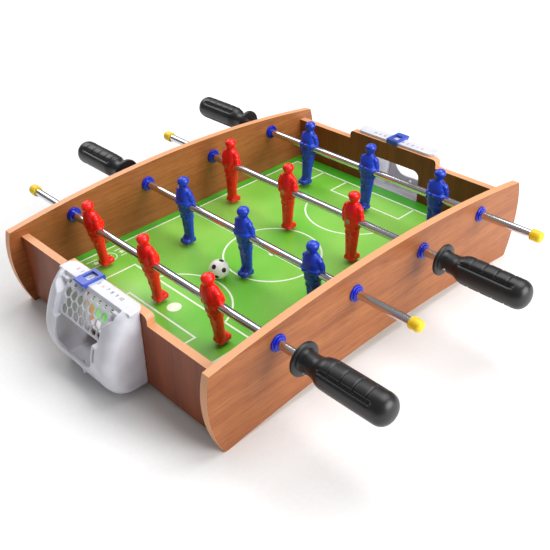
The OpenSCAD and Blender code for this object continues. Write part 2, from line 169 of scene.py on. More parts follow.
def joined(name: str, parts: Sequence[bpy.types.Mesh]) -> bpy.types.Object:
    """Join several meshes into one new object.

    Args:
        name: Name of the object.
        parts: Meshes in metres, which are used up.

    Returns:
        One object that holds all the parts.
    """
    whole = bmesh.new()
    for part in parts:
        whole.from_mesh(part)
        bpy.data.meshes.remove(part)
    mesh = bpy.data.meshes.new(name)
    whole.to_mesh(mesh)
    whole.free()
    return new_object(name, mesh)


def fuse(piece: bpy.types.Object, voxel_mm: float, rounds: int = 4) -> None:
    """Melt overlapping parts into one skin with the soft edges of a moulding.

    Args:
        piece: Object whose parts overlap.
        voxel_mm: Size of the finest detail that is kept.
        rounds: Passes of smoothing over the new skin.
    """
    remesh = piece.modifiers.new("fuse", "REMESH")
    remesh.mode = "VOXEL"
    remesh.voxel_size = voxel_mm * MM
    remesh.use_smooth_shade = True
    smooth = piece.modifiers.new("soften", "SMOOTH")
    smooth.factor = 0.5
    smooth.iterations = rounds
    bake(piece)
    piece.data.shade_smooth()


def cut(piece: bpy.types.Object, cutters: Sequence[bpy.types.Mesh]) -> None:
    """Cut meshes out of an object.

    Args:
        piece: Object to cut.
        cutters: Closed meshes, which are used up and may overlap.
    """
    tool = joined("cutter", cutters)
    boolean = piece.modifiers.new("cut", "BOOLEAN")
    boolean.operation = "DIFFERENCE"
    boolean.solver = "EXACT"
    boolean.use_self = True
    boolean.object = tool
    bake(piece)
    bpy.data.objects.remove(tool)


def dress(piece: bpy.types.Object, finish: Finish) -> None:
    """Give an object one finish in place of what it has."""
    piece.data.materials.clear()
    piece.data.materials.append(finish.material())


def arc(x: float, y: float, radius: float, start: float, end: float, steps: int) -> list[Point2]:
    """Points along an arc from start to end degrees."""
    angles = [math.radians(start + (end - start) * i / steps) for i in range(steps + 1)]
    return [(x + radius * math.cos(a), y + radius * math.sin(a)) for a in angles]


def smooth_lookup(table: Sequence[Point2], x: float) -> float:
    """Read a table of rising x values with a smooth curve through its points.

    Args:
        table: Pairs of x and value, x rising.
        x: Where to read.

    Returns:
        The value of a Catmull-Rom curve through the table's points.
    """
    x = min(max(x, table[0][0]), table[-1][0])
    k = max(i for i in range(len(table) - 1) if table[i][0] <= x)
    before, after = max(k - 1, 0), min(k + 2, len(table) - 1)
    (x1, y1), (x2, y2) = table[k], table[k + 1]
    span = x2 - x1
    slope1 = (y2 - table[before][1]) / (x2 - table[before][0])
    slope2 = (table[after][1] - y1) / (table[after][0] - x1)
    t = (x - x1) / span
    return (
        (2 * t**3 - 3 * t**2 + 1) * y1
        + (t**3 - 2 * t**2 + t) * span * slope1
        + (-2 * t**3 + 3 * t**2) * y2
        + (t**3 - t**2) * span * slope2
    )


def prism(
    outline: Sequence[Point2], place: Callable[[float, float, float], Point3], low: float, high: float
) -> bpy.types.Mesh:
    """Extrude an outline between two levels.

    Args:
        outline: Corners of the outline, in order.
        place: Turns an outline point and a level into a point in space.
        low: First level.
        high: Last level.

    Returns:
        A closed mesh.
    """
    n = len(outline)
    points = [place(a, b, level) for level in (low, high) for a, b in outline]
    sides = [(i, (i + 1) % n, n + (i + 1) % n, n + i) for i in range(n)]
    return mesh_from("prism", points, [tuple(range(n)), tuple(range(n, 2 * n)), *sides])


def skin(rings: Sequence[Sequence[Point3]], capped: bool = True) -> bpy.types.Mesh:
    """Close a mesh over rings that hold the same number of points.

    Args:
        rings: Rings of points from one end to the other.
        capped: Whether the first and last ring are filled.

    Returns:
        A mesh, closed when it is capped or its last ring is its first.
    """
    n = len(rings[0])
    points = [p for ring in rings for p in ring]
    sides = [
        (r * n + i, r * n + (i + 1) % n, (r + 1) * n + (i + 1) % n, (r + 1) * n + i)
        for r in range(len(rings) - 1)
        for i in range(n)
    ]
    last = (len(rings) - 1) * n
    caps = [tuple(range(n)), tuple(range(last, last + n))] if capped else []
    return mesh_from("skin", points, [*caps, *sides])


def along_x(a: float, b: float, level: float) -> Point3:
    """Outline in Y and Z, extruded along X."""
    return (level, a, b)


def along_y(a: float, b: float, level: float) -> Point3:
    """Outline in X and Z, extruded along Y."""
    return (a, level, b)


def along_z(a: float, b: float, level: float) -> Point3:
    """Outline in X and Y, extruded along Z."""
    return (a, b, level)


# ---------------------------------------------------------------- finishes

Tree = bpy.types.NodeTree
Socket = bpy.types.NodeSocket


def noise(tree: Tree, vector: Socket, scale: float, detail: float, roughness: float = 0.5) -> bpy.types.Node:
    """Add fractal noise and return its node.

    Args:
        tree: Node tree to add to.
        vector: Coordinates.
        scale: Features per unit of the coordinates.
        detail: Octaves of the noise.
        roughness: How much the finer octaves count.

    Returns:
        The noise node.
    """
    inputs = {"Vector": vector, "Scale": scale, "Detail": detail, "Roughness": roughness}
    return add_node(tree, "ShaderNodeTexNoise", inputs=inputs)


def stretch(tree: Tree, vector: Socket, scale: Sequence[float]) -> Socket:
    """Return coordinates scaled by a factor on each axis."""
    return add_node(tree, "ShaderNodeMapping", inputs={"Vector": vector, "Scale": scale}).outputs[0]


def ramp(tree: Tree, value: Socket, *stops: tuple[float, str]) -> Socket:
    """Return a colour that follows a value through the stops."""
    return add_node(tree, "ShaderNodeValToRGB", inputs={"Fac": value}, stops=stops).outputs["Color"]


def spread(tree: Tree, value: Socket, low: float, high: float) -> Socket:
    """Return a value from 0 to 1 spread between low and high."""
    inputs = {"Value": value, "To Min": low, "To Max": high}
    return add_node(tree, "ShaderNodeMapRange", inputs=inputs).outputs[0]


def blend(tree: Tree, factor: float | Socket, first: Any, second: Any, mode: str = "MIX") -> Socket:
    """Mix two colours.

    Args:
        tree: Node tree to add to.
        factor: Share of the second colour.
        first: First colour, as a value or a socket.
        second: Second colour, as a value or a socket.
        mode: Blend type of the mix node.

    Returns:
        The mixed colour.
    """
    settings = {"data_type": "RGBA", "blend_type": mode}
    return add_node(tree, "ShaderNodeMix", settings, {"Factor": factor, 6: first, 7: second}).outputs[2]


def compute(tree: Tree, operation: str, *values: float | Socket) -> Socket:
    """Return the result of one arithmetic operation."""
    return add_node(tree, "ShaderNodeMath", {"operation": operation}, dict(enumerate(values))).outputs[0]


def relief(tree: Tree, height: Socket, strength: float, depth_mm: float) -> Socket:
    """Return a normal roughened by a height pattern depth_mm deep."""
    inputs = {"Strength": strength, "Distance": depth_mm * MM, "Height": height}
    return add_node(tree, "ShaderNodeBump", inputs=inputs).outputs[0]


def principled(tree: Tree, colour: Socket, roughness: float | Socket, **more: Any) -> bpy.types.Node:
    """Add the surface shader.

    Args:
        tree: Node tree to add to.
        colour: Base colour.
        roughness: Roughness of the surface.
        more: Other inputs, with underscores for the spaces in their names.

    Returns:
        The shader node.
    """
    inputs = {"Base Color": colour, "Roughness": roughness}
    inputs.update({name.replace("_", " "): value for name, value in more.items()})
    return add_node(tree, "ShaderNodeBsdfPrincipled", inputs=inputs)


@dataclass(frozen=True)
class Finish:
    """A surface finish that builds its own material once."""

    name: str

    def material(self) -> bpy.types.Material:
        """Return the finish's material, made on first use."""
        found = bpy.data.materials.get(self.name)
        if found is None:
            found = bpy.data.materials.new(self.name)
            found.use_nodes = True
            tree = found.node_tree
            tree.nodes.clear()
            place = add_node(tree, "ShaderNodeTexCoord")
            surface = self.surface(tree, place)
            add_node(tree, "ShaderNodeOutputMaterial", inputs={"Surface": surface.outputs[0]})
        return found

    def surface(self, tree: Tree, place: bpy.types.Node) -> bpy.types.Node:
        """Build the shader from the texture coordinates; each finish has its own."""
        raise NotImplementedError


class Face(Enum):
    """Axis that the broad faces of a board look along."""

    ALONG_X = 0
    ALONG_Y = 1


@dataclass(frozen=True)
class WoodgrainFoil(Finish):
    """Printed wood-grain foil pressed on fibreboard, with pale foiled edges.

    The foil gives long streaks a few millimetres wide with short dark pores and a low satin gloss.
    """

    face: Face = Face.ALONG_Y
    dark: str = "#82441B"
    mid: str = "#9B592A"
    light: str = "#AC6A38"
    edge: str = "#E6A878"
    pore: str = "#8A6A58"
    streak_mm: float = 1.7
    streak_length_mm: float = 85.0
    figure_mm: float = 26.0
    wander_mm: float = 60.0
    pore_mm: float = 0.9
    face_limit: float = 0.8

    def surface(self, tree: Tree, place: bpy.types.Node) -> bpy.types.Node:
        """Streaks and pores on the faces, a plainer pale foil on the edges."""
        across, along = per_metre(self.streak_mm), per_metre(self.streak_length_mm)
        scale = (along, across, across) if self.face is Face.ALONG_Y else (across, across, along)
        streak_place = stretch(tree, place.outputs["Object"], scale)
        wander = noise(tree, place.outputs["Object"], per_metre(self.wander_mm), 2.0)
        bent = add_node(
            tree,
            "ShaderNodeVectorMath",
            {"operation": "MULTIPLY_ADD"},
            {0: wander.outputs["Color"], 1: (0.0, 3.2, 3.2), 2: streak_place},
        ).outputs[0]
        streaks = noise(tree, bent, 1.0, 7.0, 0.62).outputs["Fac"]
        shrink = self.streak_mm / self.figure_mm * 1.6
        broad = noise(tree, stretch(tree, bent, (shrink, shrink, shrink)), 1.0, 3.0).outputs["Fac"]
        grain = add_node(tree, "ShaderNodeMix", inputs={"Factor": 0.42, 2: streaks, 3: broad}).outputs[0]
        foil = ramp(tree, grain, (0.34, self.dark), (0.5, self.mid), (0.64, self.light))
        fine = self.streak_mm / self.pore_mm
        pore_place = stretch(tree, streak_place, (fine * 2.4, fine * 1.8, fine * 1.8))
        pores = noise(tree, pore_place, 1.0, 2.0).outputs["Fac"]
        ticks = ramp(tree, pores, (0.33, self.pore), (0.44, "#FFFFFF"))
        printed = blend(tree, 0.55, foil, ticks, "MULTIPLY")
        edge_tone = blend(tree, 0.12, linear(self.edge), foil, "MULTIPLY")
        parts = add_node(tree, "ShaderNodeSeparateXYZ", inputs={0: place.outputs["Normal"]})
        flatness = compute(tree, "ABSOLUTE", parts.outputs[self.face.value])
        on_face = compute(tree, "GREATER_THAN", flatness, self.face_limit)
        colour = blend(tree, on_face, edge_tone, printed)
        normal = relief(tree, pores, 0.25, 0.08)
        return principled(tree, colour, spread(tree, streaks, 0.38, 0.52), IOR=1.5, Normal=normal)


@dataclass(frozen=True)
class PitchPrint(Finish):
    """Grass-green print under a clear gloss film: lighter inside the lines, with soft mown patches."""

    inside: str = "#6CC331"
    inside_pale: str = "#95D65A"
    outside: str = "#46B528"
    fleck: str = "#DDE8CF"
    half_length: float = 175.8
    half_width: float = 136.0
    patch_mm: float = 90.0
    blade_mm: float = 1.4

    def surface(self, tree: Tree, place: bpy.types.Node) -> bpy.types.Node:
        """Two greens parted at the touch lines, under a coat."""
        patches = noise(tree, place.outputs["Object"], per_metre(self.patch_mm), 2.0).outputs["Fac"]
        blades = noise(tree, place.outputs["Object"], per_metre(self.blade_mm), 3.0).outputs["Fac"]
        field_tone = ramp(tree, patches, (0.35, self.inside), (0.65, self.inside_pale))
        parts = add_node(tree, "ShaderNodeSeparateXYZ", inputs={0: place.outputs["Object"]})
        tests = [
            compute(tree, "LESS_THAN", compute(tree, "ABSOLUTE", parts.outputs[axis]), limit * MM)
            for axis, limit in enumerate((self.half_length, self.half_width))
        ]
        within = compute(tree, "MULTIPLY", *tests)
        ground = blend(tree, within, linear(self.outside), field_tone)
        flecks = ramp(tree, blades, (0.3, self.fleck), (0.6, "#FFFFFF"))
        colour = blend(tree, 0.5, ground, flecks, "MULTIPLY")
        normal = relief(tree, patches, 0.12, 0.3)
        return principled(tree, colour, 0.3, IOR=1.5, Coat_Weight=0.35, Coat_Roughness=0.12, Normal=normal)


@dataclass(frozen=True)
class MouldedPlastic(Finish):
    """Injection-moulded ABS: even colour, faint flow marks and the fine skin of the mould."""

    colour: str = "#FFFFFF"
    shaded: str = "#E0E0E0"
    roughness: float = 0.3
    skin_mm: float = 0.5
    skin_depth: float = 0.15
    glow: float = 0.0
    flow_mm: float = 14.0

    def surface(self, tree: Tree, place: bpy.types.Node) -> bpy.types.Node:
        """Soft flow marks in colour and gloss over a fine mould skin."""
        flow = noise(tree, place.outputs["Object"], per_metre(self.flow_mm), 3.0).outputs["Fac"]
        grain = noise(tree, place.outputs["Object"], per_metre(self.skin_mm), 2.0).outputs["Fac"]
        return principled(
            tree,
            ramp(tree, flow, (0.3, self.shaded), (0.62, self.colour)),
            spread(tree, flow, self.roughness * 0.85, self.roughness * 1.2),
            IOR=1.53,
            Subsurface_Weight=self.glow,
            Subsurface_Radius=(1.0, 0.6, 0.4),
            Subsurface_Scale=1.2 * MM,
            Normal=relief(tree, grain, self.skin_depth, 0.05),
        )


@dataclass(frozen=True)
class Plated(Finish):
    """Polished metal under bright plating, with hair-fine drawing marks along the piece."""

    colour: str = "#DEDEE1"
    dull: str = "#C4C4C8"
    roughness: float = 0.11
    mark_mm: float = 0.5
    mark_length_mm: float = 40.0

    def surface(self, tree: Tree, place: bpy.types.Node) -> bpy.types.Node:
        """Mirror metal whose gloss and tone vary along the drawing direction, Y."""
        across, along = per_metre(self.mark_mm), per_metre(self.mark_length_mm)
        drawn = stretch(tree, place.outputs["Object"], (across, along, across))
        marks = noise(tree, drawn, 1.0, 4.0).outputs["Fac"]
        colour = ramp(tree, marks, (0.3, self.dull), (0.6, self.colour))
        gloss = spread(tree, marks, self.roughness * 0.6, self.roughness * 1.6)
        return principled(tree, colour, gloss, Metallic=1.0, Normal=relief(tree, marks, 0.06, 0.02))


@dataclass(frozen=True)
class BareWood(Finish):
    """Sawn or turned softwood, unfinished: dry, matt, with fine growth rings."""

    dark: str = "#B98A5C"
    light: str = "#DDB88A"
    ring_mm: float = 3.0

    def surface(self, tree: Tree, place: bpy.types.Node) -> bpy.types.Node:
        """Growth rings stretched along the stick, with a rough sawn bump."""
        across = per_metre(self.ring_mm)
        stretched = stretch(tree, place.outputs["Object"], (across / 14, across / 2, across))
        rings = noise(tree, stretched, 1.0, 6.0).outputs["Fac"]
        colour = ramp(tree, rings, (0.35, self.dark), (0.62, self.light))
        return principled(tree, colour, 0.75, Normal=relief(tree, rings, 0.4, 0.15))


@dataclass(frozen=True)
class BallPaint(Finish):
    """Moulded white ball with twelve round black spots, spaced like the corners of an icosahedron."""

    centre: Point3 = (0.0, 0.0, 0.0)
    turned: Point3 = (26.0, -48.2, 17.7)
    spot_angle: float = 14.0
    scuff_mm: float = 2.5
    white: str = "#F2F1EC"
    black: str = "#141414"

    def surface(self, tree: Tree, place: bpy.types.Node) -> bpy.types.Node:
        """Black where the direction from the centre is close to one of six axes."""
        kind = "ShaderNodeVectorMath"
        inputs = {0: place.outputs["Object"], 1: self.centre}
        outwards = add_node(tree, kind, {"operation": "SUBTRACT"}, inputs).outputs[0]
        direction = add_node(tree, kind, {"operation": "NORMALIZE"}, {0: outwards}).outputs[0]
        golden = (1 + math.sqrt(5)) / 2
        corners = [c for s in (1, -1) for c in ((0, s, golden), (s * golden, 0, 1), (s, golden, 0))]
        turn = Euler([math.radians(a) for a in self.turned]).to_matrix()
        nearest: float | Socket = 0.0
        for corner in corners:
            axis = turn @ Vector(corner).normalized()
            dot = add_node(tree, kind, {"operation": "DOT_PRODUCT"}, {0: direction, 1: axis})
            nearest = compute(tree, "MAXIMUM", nearest, compute(tree, "ABSOLUTE", dot.outputs["Value"]))
        limit = math.cos(math.radians(self.spot_angle))
        colour = ramp(tree, nearest, (limit - 0.004, self.white), (limit + 0.001, self.black))
        scuffs = noise(tree, place.outputs["Object"], per_metre(self.scuff_mm), 4.0).outputs["Fac"]
        normal = relief(tree, scuffs, 0.1, 0.05)
        return principled(tree, colour, spread(tree, scuffs, 0.25, 0.45), IOR=1.5, Normal=normal)


@dataclass(frozen=True)
class Ink(Finish):
    """Screen-printed ink: flat and opaque, a little uneven where the mesh of the screen shows."""

    colour: str = "#F2F7E8"
    thin: str = "#D8DED0"
    roughness: float = 0.4
    screen_mm: float = 0.8

    def surface(self, tree: Tree, place: bpy.types.Node) -> bpy.types.Node:
        """Slight unevenness of tone at the spacing of the screen."""
        screen = noise(tree, place.outputs["Object"], per_metre(self.screen_mm), 2.0).outputs["Fac"]
        tone = ramp(tree, screen, (0.2, self.thin), (0.5, "#FFFFFF"))
        colour = blend(tree, 0.6, linear(self.colour), tone, "MULTIPLY")
        return principled(tree, colour, self.roughness, IOR=1.5)


@dataclass(frozen=True)
class StudioPaper(Finish):
    """Plain pale paper under the object."""

    colour: str = "#F4F4F4"
    dull: str = "#F0F0F0"
    fibre_mm: float = 4.0

    def surface(self, tree: Tree, place: bpy.types.Node) -> bpy.types.Node:
        """Matt paper with a barely visible fibre."""
        fibre = noise(tree, place.outputs["Object"], per_metre(self.fibre_mm), 2.0).outputs["Fac"]
        return principled(tree, ramp(tree, fibre, (0.2, self.dull), (0.8, self.colour)), 0.9)


SIDE_FOIL = WoodgrainFoil("woodgrain_foil_side", Face.ALONG_Y)
# End boards: the same printed grain, run upright, in darker tones than the side boards. The darker tones are
# painted shade for the end faces turned away from the lights.
END_FOIL_PAINTED_SHADE = WoodgrainFoil("woodgrain_foil_end_painted_shade", Face.ALONG_X, "#70300E", "#893F14", "#984B1F")
RED_ABS = MouldedPlastic("moulded_abs_red", "#FC130A", "#EC0D07", 0.32, glow=0.25)
BLUE_ABS = MouldedPlastic("moulded_abs_blue", "#1440CC", "#1034B0", 0.3, glow=0.2)
BUSHING_NYLON = MouldedPlastic("moulded_nylon_blue", "#1428C8", "#0F1EA4", 0.25, glow=0.1)
SLIDER_ABS = MouldedPlastic("moulded_abs_slider_blue", "#3C54BE", "#3048A8", 0.3)
CAP_PE = MouldedPlastic("moulded_polythene_yellow", "#F7D31C", "#EDBE10", 0.35, glow=0.3)
GOAL_ABS = MouldedPlastic("moulded_abs_white", "#D8D8E0", "#CDCDD6", 0.3, glow=0.1)
HANDLE_PP = MouldedPlastic("textured_polypropylene_black", "#17171A", "#101012", 0.36, 0.35, 0.5)
ROD_CHROME = Plated("chrome_plated_tube")
SCREW_ZINC = Plated("zinc_plated_screw", "#C8C8C4", "#A5A5A0", 0.28, 0.3, 1.0)
BATTEN_PINE = BareWood("sawn_pine")
DOWEL_BEECH = BareWood("turned_beech", "#B98C60", "#D2A878", 1.5)
LINE_INK = Ink("screen_print_white", "#EEF7DF")
RED_INK = Ink("screen_print_red", "#C8303A")
ORANGE_INK = Ink("screen_print_orange", "#E8884A")
BLACK_INK = Ink("screen_print_black", "#3A3A44")


# ---------------------------------------------------------------- frame and pitch


@dataclass
class Box:
    """Side boards, end boards, pitch board, battens and their hidden fixings."""

    eased_edge: float = 0.5

    def dress(self) -> None:
        """Finish every board that the CAD frame brings, with slightly eased edges."""
        finishes = {
            "side_board_near": SIDE_FOIL,
            "side_board_far": SIDE_FOIL,
            "end_board_left": END_FOIL_PAINTED_SHADE,
            "end_board_right": END_FOIL_PAINTED_SHADE,
            "batten_near": BATTEN_PINE,
            "batten_far": BATTEN_PINE,
            "corner_dowels": DOWEL_BEECH,
            "goal_screws": SCREW_ZINC,
        }
        for node, finish in finishes.items():
            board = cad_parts[node]
            shade(board, 30)
            dress(board, finish)
            if "board" in node:
                edge = board.modifiers.new("eased_edge", "BEVEL")
                edge.width = self.eased_edge * MM
                edge.segments = 2
                edge.limit_method = "ANGLE"
                edge.angle_limit = math.radians(40)
                edge.harden_normals = True
            LOG.info("dressed %s with %s", node, finish.name)


@dataclass
class Pitch:
    """Printed pitch: field, lines and a plain emblem."""

    line: float = 2.0
    proud: float = 0.05
    touch: Point2 = (175.8, 136.0)
    goal_area: Point2 = (146.7, 51.0)
    penalty_area: Point2 = (113.0, 89.4)
    spot_x: float = 131.0
    spot_r: float = 7.2
    arc_r: float = 56.5
    circle_r: float = 52.0
    centre_r: float = 4.0
    emblem_at: Point2 = (-124.0, 121.0)
    emblem_r: float = 8.5
    emblem_line: float = 1.2
    bar_length: float = 13.0
    bar_width: float = 1.5
    strips: list[bpy.types.Mesh] = field(default_factory=list)

    @property
    def top(self) -> float:
        """Height of the playing surface in millimetres."""
        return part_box("pitch_board")[1][2] / MM

    def ribbon(self, points: Sequence[Point2], closed: bool, width: float) -> None:
        """Add a flat line of ink along points, with mitred corners.

        Args:
            points: Middle of the line, in order.
            closed: Whether the last point joins the first.
            width: Width of the line.
        """
        n = len(points)
        left: list[Point2] = []
        right: list[Point2] = []
        for i, here in enumerate(points):
            back = Vector(points[(i - 1) % n] if closed or i > 0 else here)
            ahead = Vector(points[(i + 1) % n] if closed or i < n - 1 else here)
            into = (Vector(here) - back).normalized()
            out = (ahead - Vector(here)).normalized()
            normals = [Vector((-d.y, d.x)) for d in (into, out) if d.length > 0]
            middle = sum(normals, Vector((0, 0))).normalized()
            reach = width / 2 / max(middle.dot(normals[0]), 0.3)
            left.append(tuple(Vector(here) + middle * reach))
            right.append(tuple(Vector(here) - middle * reach))
        z = self.top + self.proud
        corners = [(x, y, z) for x, y in left + right]
        spans = range(n if closed else n - 1)
        faces = [(i, (i + 1) % n, n + (i + 1) % n, n + i) for i in spans]
        self.strips.append(mesh_from("strip", corners, faces))

    def disc(self, x: float, y: float, radius: float) -> None:
        """Add a round spot of ink."""
        ring = [(a, b, self.top + self.proud) for a, b in arc(x, y, radius, 0, 352.5, 47)]
        self.strips.append(mesh_from("spot", ring, [tuple(range(len(ring)))]))

    def star(self, x: float, y: float, radius: float) -> None:
        """Add a five-pointed star of ink."""
        angles = [math.radians(90 + 36 * i) for i in range(10)]
        sizes = [radius if i % 2 == 0 else radius * 0.42 for i in range(10)]
        z = self.top + self.proud
        ring = [(x + r * math.cos(a), y + r * math.sin(a), z) for a, r in zip(angles, sizes)]
        centre = len(ring)
        faces = [(centre, i, (i + 1) % 10) for i in range(10)]
        self.strips.append(mesh_from("star", [*ring, (x, y, z)], faces))

    def half_markings(self, s: int) -> None:
        """Lines of the half on side s, -1 or 1."""
        for depth, width in (self.goal_area, self.penalty_area):
            corners = [(self.touch[0], -width), (depth, -width), (depth, width), (self.touch[0], width)]
            self.ribbon([(s * x, y) for x, y in corners], False, self.line)
        self.disc(s * self.spot_x, 0, self.spot_r)
        inner = math.degrees(math.acos((self.spot_x - self.penalty_area[0]) / self.arc_r))
        bow = arc(self.spot_x, 0, self.arc_r, 180 - inner, 180 + inner, 40)
        self.ribbon([(s * x, y) for x, y in bow], False, self.line)

    def build(self) -> None:
        """Dress the pitch board and print its lines."""
        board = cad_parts["pitch_board"]
        x, y = self.touch
        dress(board, PitchPrint("printed_gloss_film", half_length=x, half_width=y))
        self.ribbon([(-x, -y), (x, -y), (x, y), (-x, y)], True, self.line)
        self.ribbon([(0, -y), (0, y)], False, self.line)
        self.ribbon(arc(0, 0, self.circle_r, 0, 355, 71), True, self.line)
        self.disc(0, 0, self.centre_r)
        for s in (-1, 1):
            self.half_markings(s)
        at_x, at_y = self.emblem_at
        self.ribbon(arc(at_x, at_y, self.emblem_r, 0, 350, 35), True, self.emblem_line)
        self.star(at_x, at_y, self.emblem_r * 0.62)
        for step in (-1, 1):
            self.star(at_x + step * self.emblem_r * 1.9, at_y, self.emblem_r * 0.5)
            for row in (-0.75, 0.75):
                start, level = at_x + step * self.emblem_r * 1.3, at_y + row * self.emblem_r
                self.ribbon([(start, level), (start + step * self.bar_length, level)], False, self.bar_width)
        lines = joined("pitch_lines", self.strips)
        dress(lines, LINE_INK)
        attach(lines, "table")
        LOG.info("printed the pitch with %d strips of ink", len(self.strips))


# ---------------------------------------------------------------- goals


@dataclass
class Goal:
    """White moulded goal: rounded shell, net panel with holes, ball tray and score scale."""

    side: int
    foot: float = 8.0
    crown: float = 87.0
    bar: float = 3.0
    bar_in: float = 5.5
    bar_out: float = 10.5
    bar_corner: float = 9.0
    half: float = 54.5
    corner: float = 15.0
    corner_drop: float = 4.5
    taper: float = 4.1
    lip: float = 3.0
    net_wall: float = 2.4
    tray_floor: float = 11.0
    tray_half: float = 34.5
    net_half: float = 35.0
    bar_half: float = 44.0
    mouth_half: float = 41.0
    flare: float = 77.0
    hole_pitch: float = 9.2
    hole_r: float = 3.6
    hole_stretch: Point2 = (1.32, 1.22)
    hole_rows: Point3 = (78.4, 71.4, 64.4)
    hole_tilt: float = 62.0
    slots: int = 8
    slot_at: Point2 = (13.5, 84.6)
    slot_tilt: float = -40.0
    scale_step: float = 6.7
    scale_start: float = 36.6
    digit_size: float = 5.2
    shell: tuple[Point2, ...] = (
        (8, 29.5), (12, 32.3), (18, 35.6), (25, 37.9), (33, 39.2), (40, 39.6), (47, 38.6),
        (54, 36.6), (62, 33.7), (70, 30.4), (77, 27), (83, 22.6), (88, 17.4), (90, 10.5),
    )
    net: tuple[Point2, ...] = ((58, 29.3), (62, 27.7), (70, 24.4), (77, 20.8), (83, 15.5), (87, 10.5))

    @property
    def node(self) -> str:
        """Name of the CAD goal that this one stands for."""
        return "goal_left" if self.side < 0 else "goal_right"

    @property
    def board_face(self) -> float:
        """Outer face of the end board, as a distance from the middle."""
        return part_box("end_board_right")[1][0] / MM

    @property
    def top(self) -> float:
        """Top of the score bar."""
        return self.crown + self.bar

    def slice_at(self, z: float, shrink: float = 0.0) -> list[Point3]:
        """One level slice of the shell, round at its two front corners.

        Args:
            z: Height of the slice.
            shrink: How far the slice is drawn in.

        Returns:
            Points from one board edge round the front to the other.
        """
        depth = smooth_lookup(self.shell, z) - shrink
        half = self.half - self.taper * (self.top - z) / (self.top - self.foot) - shrink
        tighter = self.corner_drop * math.sin(math.pi * (z - self.foot) / (self.top - self.foot))
        r = min(self.corner - tighter, depth - 1)
        front = arc(depth - r, r - half, r, -90, 0, 14) + arc(depth - r, half - r, r, 0, 90, 14)
        return [(0.05, -half, z), *((x, y, z) for x, y in front), (0.05, half, z)]

    def body(self) -> bpy.types.Mesh:
        """Closed outer form, with its foot and shoulders slightly rounded."""
        levels = [self.foot + i * (self.top - self.foot) / 46 for i in range(1, 46)]
        rings = [self.slice_at(self.foot, 1.0), *(self.slice_at(z) for z in levels)]
        rings.append(self.slice_at(self.top, 0.5))
        return skin(rings)

    def tray(self) -> bpy.types.Mesh:
        """Hollow behind the mouth and under the net panel."""
        net_foot = self.net[0][0]
        outline = [(-2.0, self.tray_floor)]
        steps = [self.tray_floor + i * (net_foot - 4 - self.tray_floor) / 16 for i in range(17)]
        outline += [(smooth_lookup(self.shell, z) - self.lip, z) for z in steps]
        steps = [net_foot + i * (self.crown - net_foot) / 12 for i in range(13)]
        outline += [(smooth_lookup(self.net, z) - self.net_wall, z) for z in steps]
        outline.append((-2.0, self.crown))
        return prism(outline, along_y, -self.tray_half, self.tray_half)

    def recess(self) -> list[bpy.types.Mesh]:
        """Space in front of the net panel, flaring to the bar's width at the top."""
        net_foot, flare, rim = self.net[0][0], self.flare, self.top + 2
        steps = [net_foot + i * (self.crown - net_foot) / 12 for i in range(13)]
        face = [(smooth_lookup(self.net, z), z) for z in steps]
        layers = []
        for low, high, wide in ((net_foot, flare, self.net_half), (flare - 0.01, rim, self.net_half)):
            inner = [(x, z) for x, z in face if low <= z <= high]
            edge = (smooth_lookup(self.net, min(max(low, net_foot), self.crown)), low)
            last = (smooth_lookup(self.net, min(high, self.crown)), high)
            outline = [edge, *inner, last, (60.0, high), (60.0, low)]
            layers.append(prism(outline, along_y, -wide, wide))
        start, reach, crest = self.net_half - 0.01, self.bar_half - self.net_half, self.crown - 1
        wing = [(0.0, flare), (reach, flare + 7), (reach, rim), (0.0, rim)]
        for s in (-1, 1):
            layers.append(prism([(s * (start + a), z) for a, z in wing], along_x, 14.5, 60.0))
            ends = ((start, crest), (self.bar_half, crest), (self.bar_half, rim), (start, rim))
            layers.append(prism([(s * a, z) for a, z in ends], along_x, self.bar_out, 15.0))
        return layers

    def window(self) -> list[bpy.types.Mesh]:
        """Opening where the ball is taken out, and the small slot beside it."""
        low, top = self.tray_floor + 17, self.net[0][0] + 0.5
        outline = [
            (-31, top), (-31, low + 6), (-30, low + 3.5), (-27, low + 2), (-8, low + 0.6), (10, low),
            (16, low + 1), (22, low + 5), (26, low + 10), (27, low + 14), (27, top),
        ]
        slot = [(29.6, top - 15), (31.8, top - 15), (31.8, top - 3), (29.6, top - 3)]
        return [prism(outline, along_x, 22, 60), prism(slot, along_x, 22, 60)]

    def score_bar(self) -> bpy.types.Mesh:
        """Plate over the end board's crown."""
        r = self.bar_corner
        inner = arc(r - self.bar_in, self.half - r, r, 180, 90, 8)
        outline = [(self.bar_out, -self.half), (self.bar_out, self.half), *reversed(inner)]
        outline += [(x, -y) for x, y in inner]
        return prism(outline, along_z, self.crown, self.top)

    def holes(self) -> list[bpy.types.Mesh]:
        """Slots under the bar and three staggered rows of six-sided holes."""
        tools = []
        slot_box = [(-1.5, -1.6), (1.5, -1.6), (1.5, 1.6), (-1.5, 1.6)]
        slot_x, slot_z = self.slot_at
        for k in range(self.slots):
            mesh = prism(slot_box, along_x, -6, 8)
            across = (k - (self.slots - 1) / 2) * self.hole_pitch
            tilt = Matrix.Rotation(math.radians(self.slot_tilt), 4, "Y")
            mesh.transform(Matrix.Translation(Vector((slot_x, across, slot_z)) * MM) @ tilt)
            tools.append(mesh)
        hexagon = arc(0, 0, self.hole_r, 0, 300, 5)
        long, wide = self.hole_stretch
        for row, z in enumerate(self.hole_rows):
            for k in range(-3, 4):
                if row == 1 and k == -3:
                    continue
                y = (k - (0.5 if row == 1 else 0.0)) * self.hole_pitch
                mesh = prism([(a * long, b * wide) for a, b in hexagon], along_z, -7, 7)
                tilt = Matrix.Rotation(math.radians(self.hole_tilt), 4, "Y")
                mesh.transform(Matrix.Translation(Vector((smooth_lookup(self.net, z), y, z)) * MM) @ tilt)
                tools.append(mesh)
        return tools

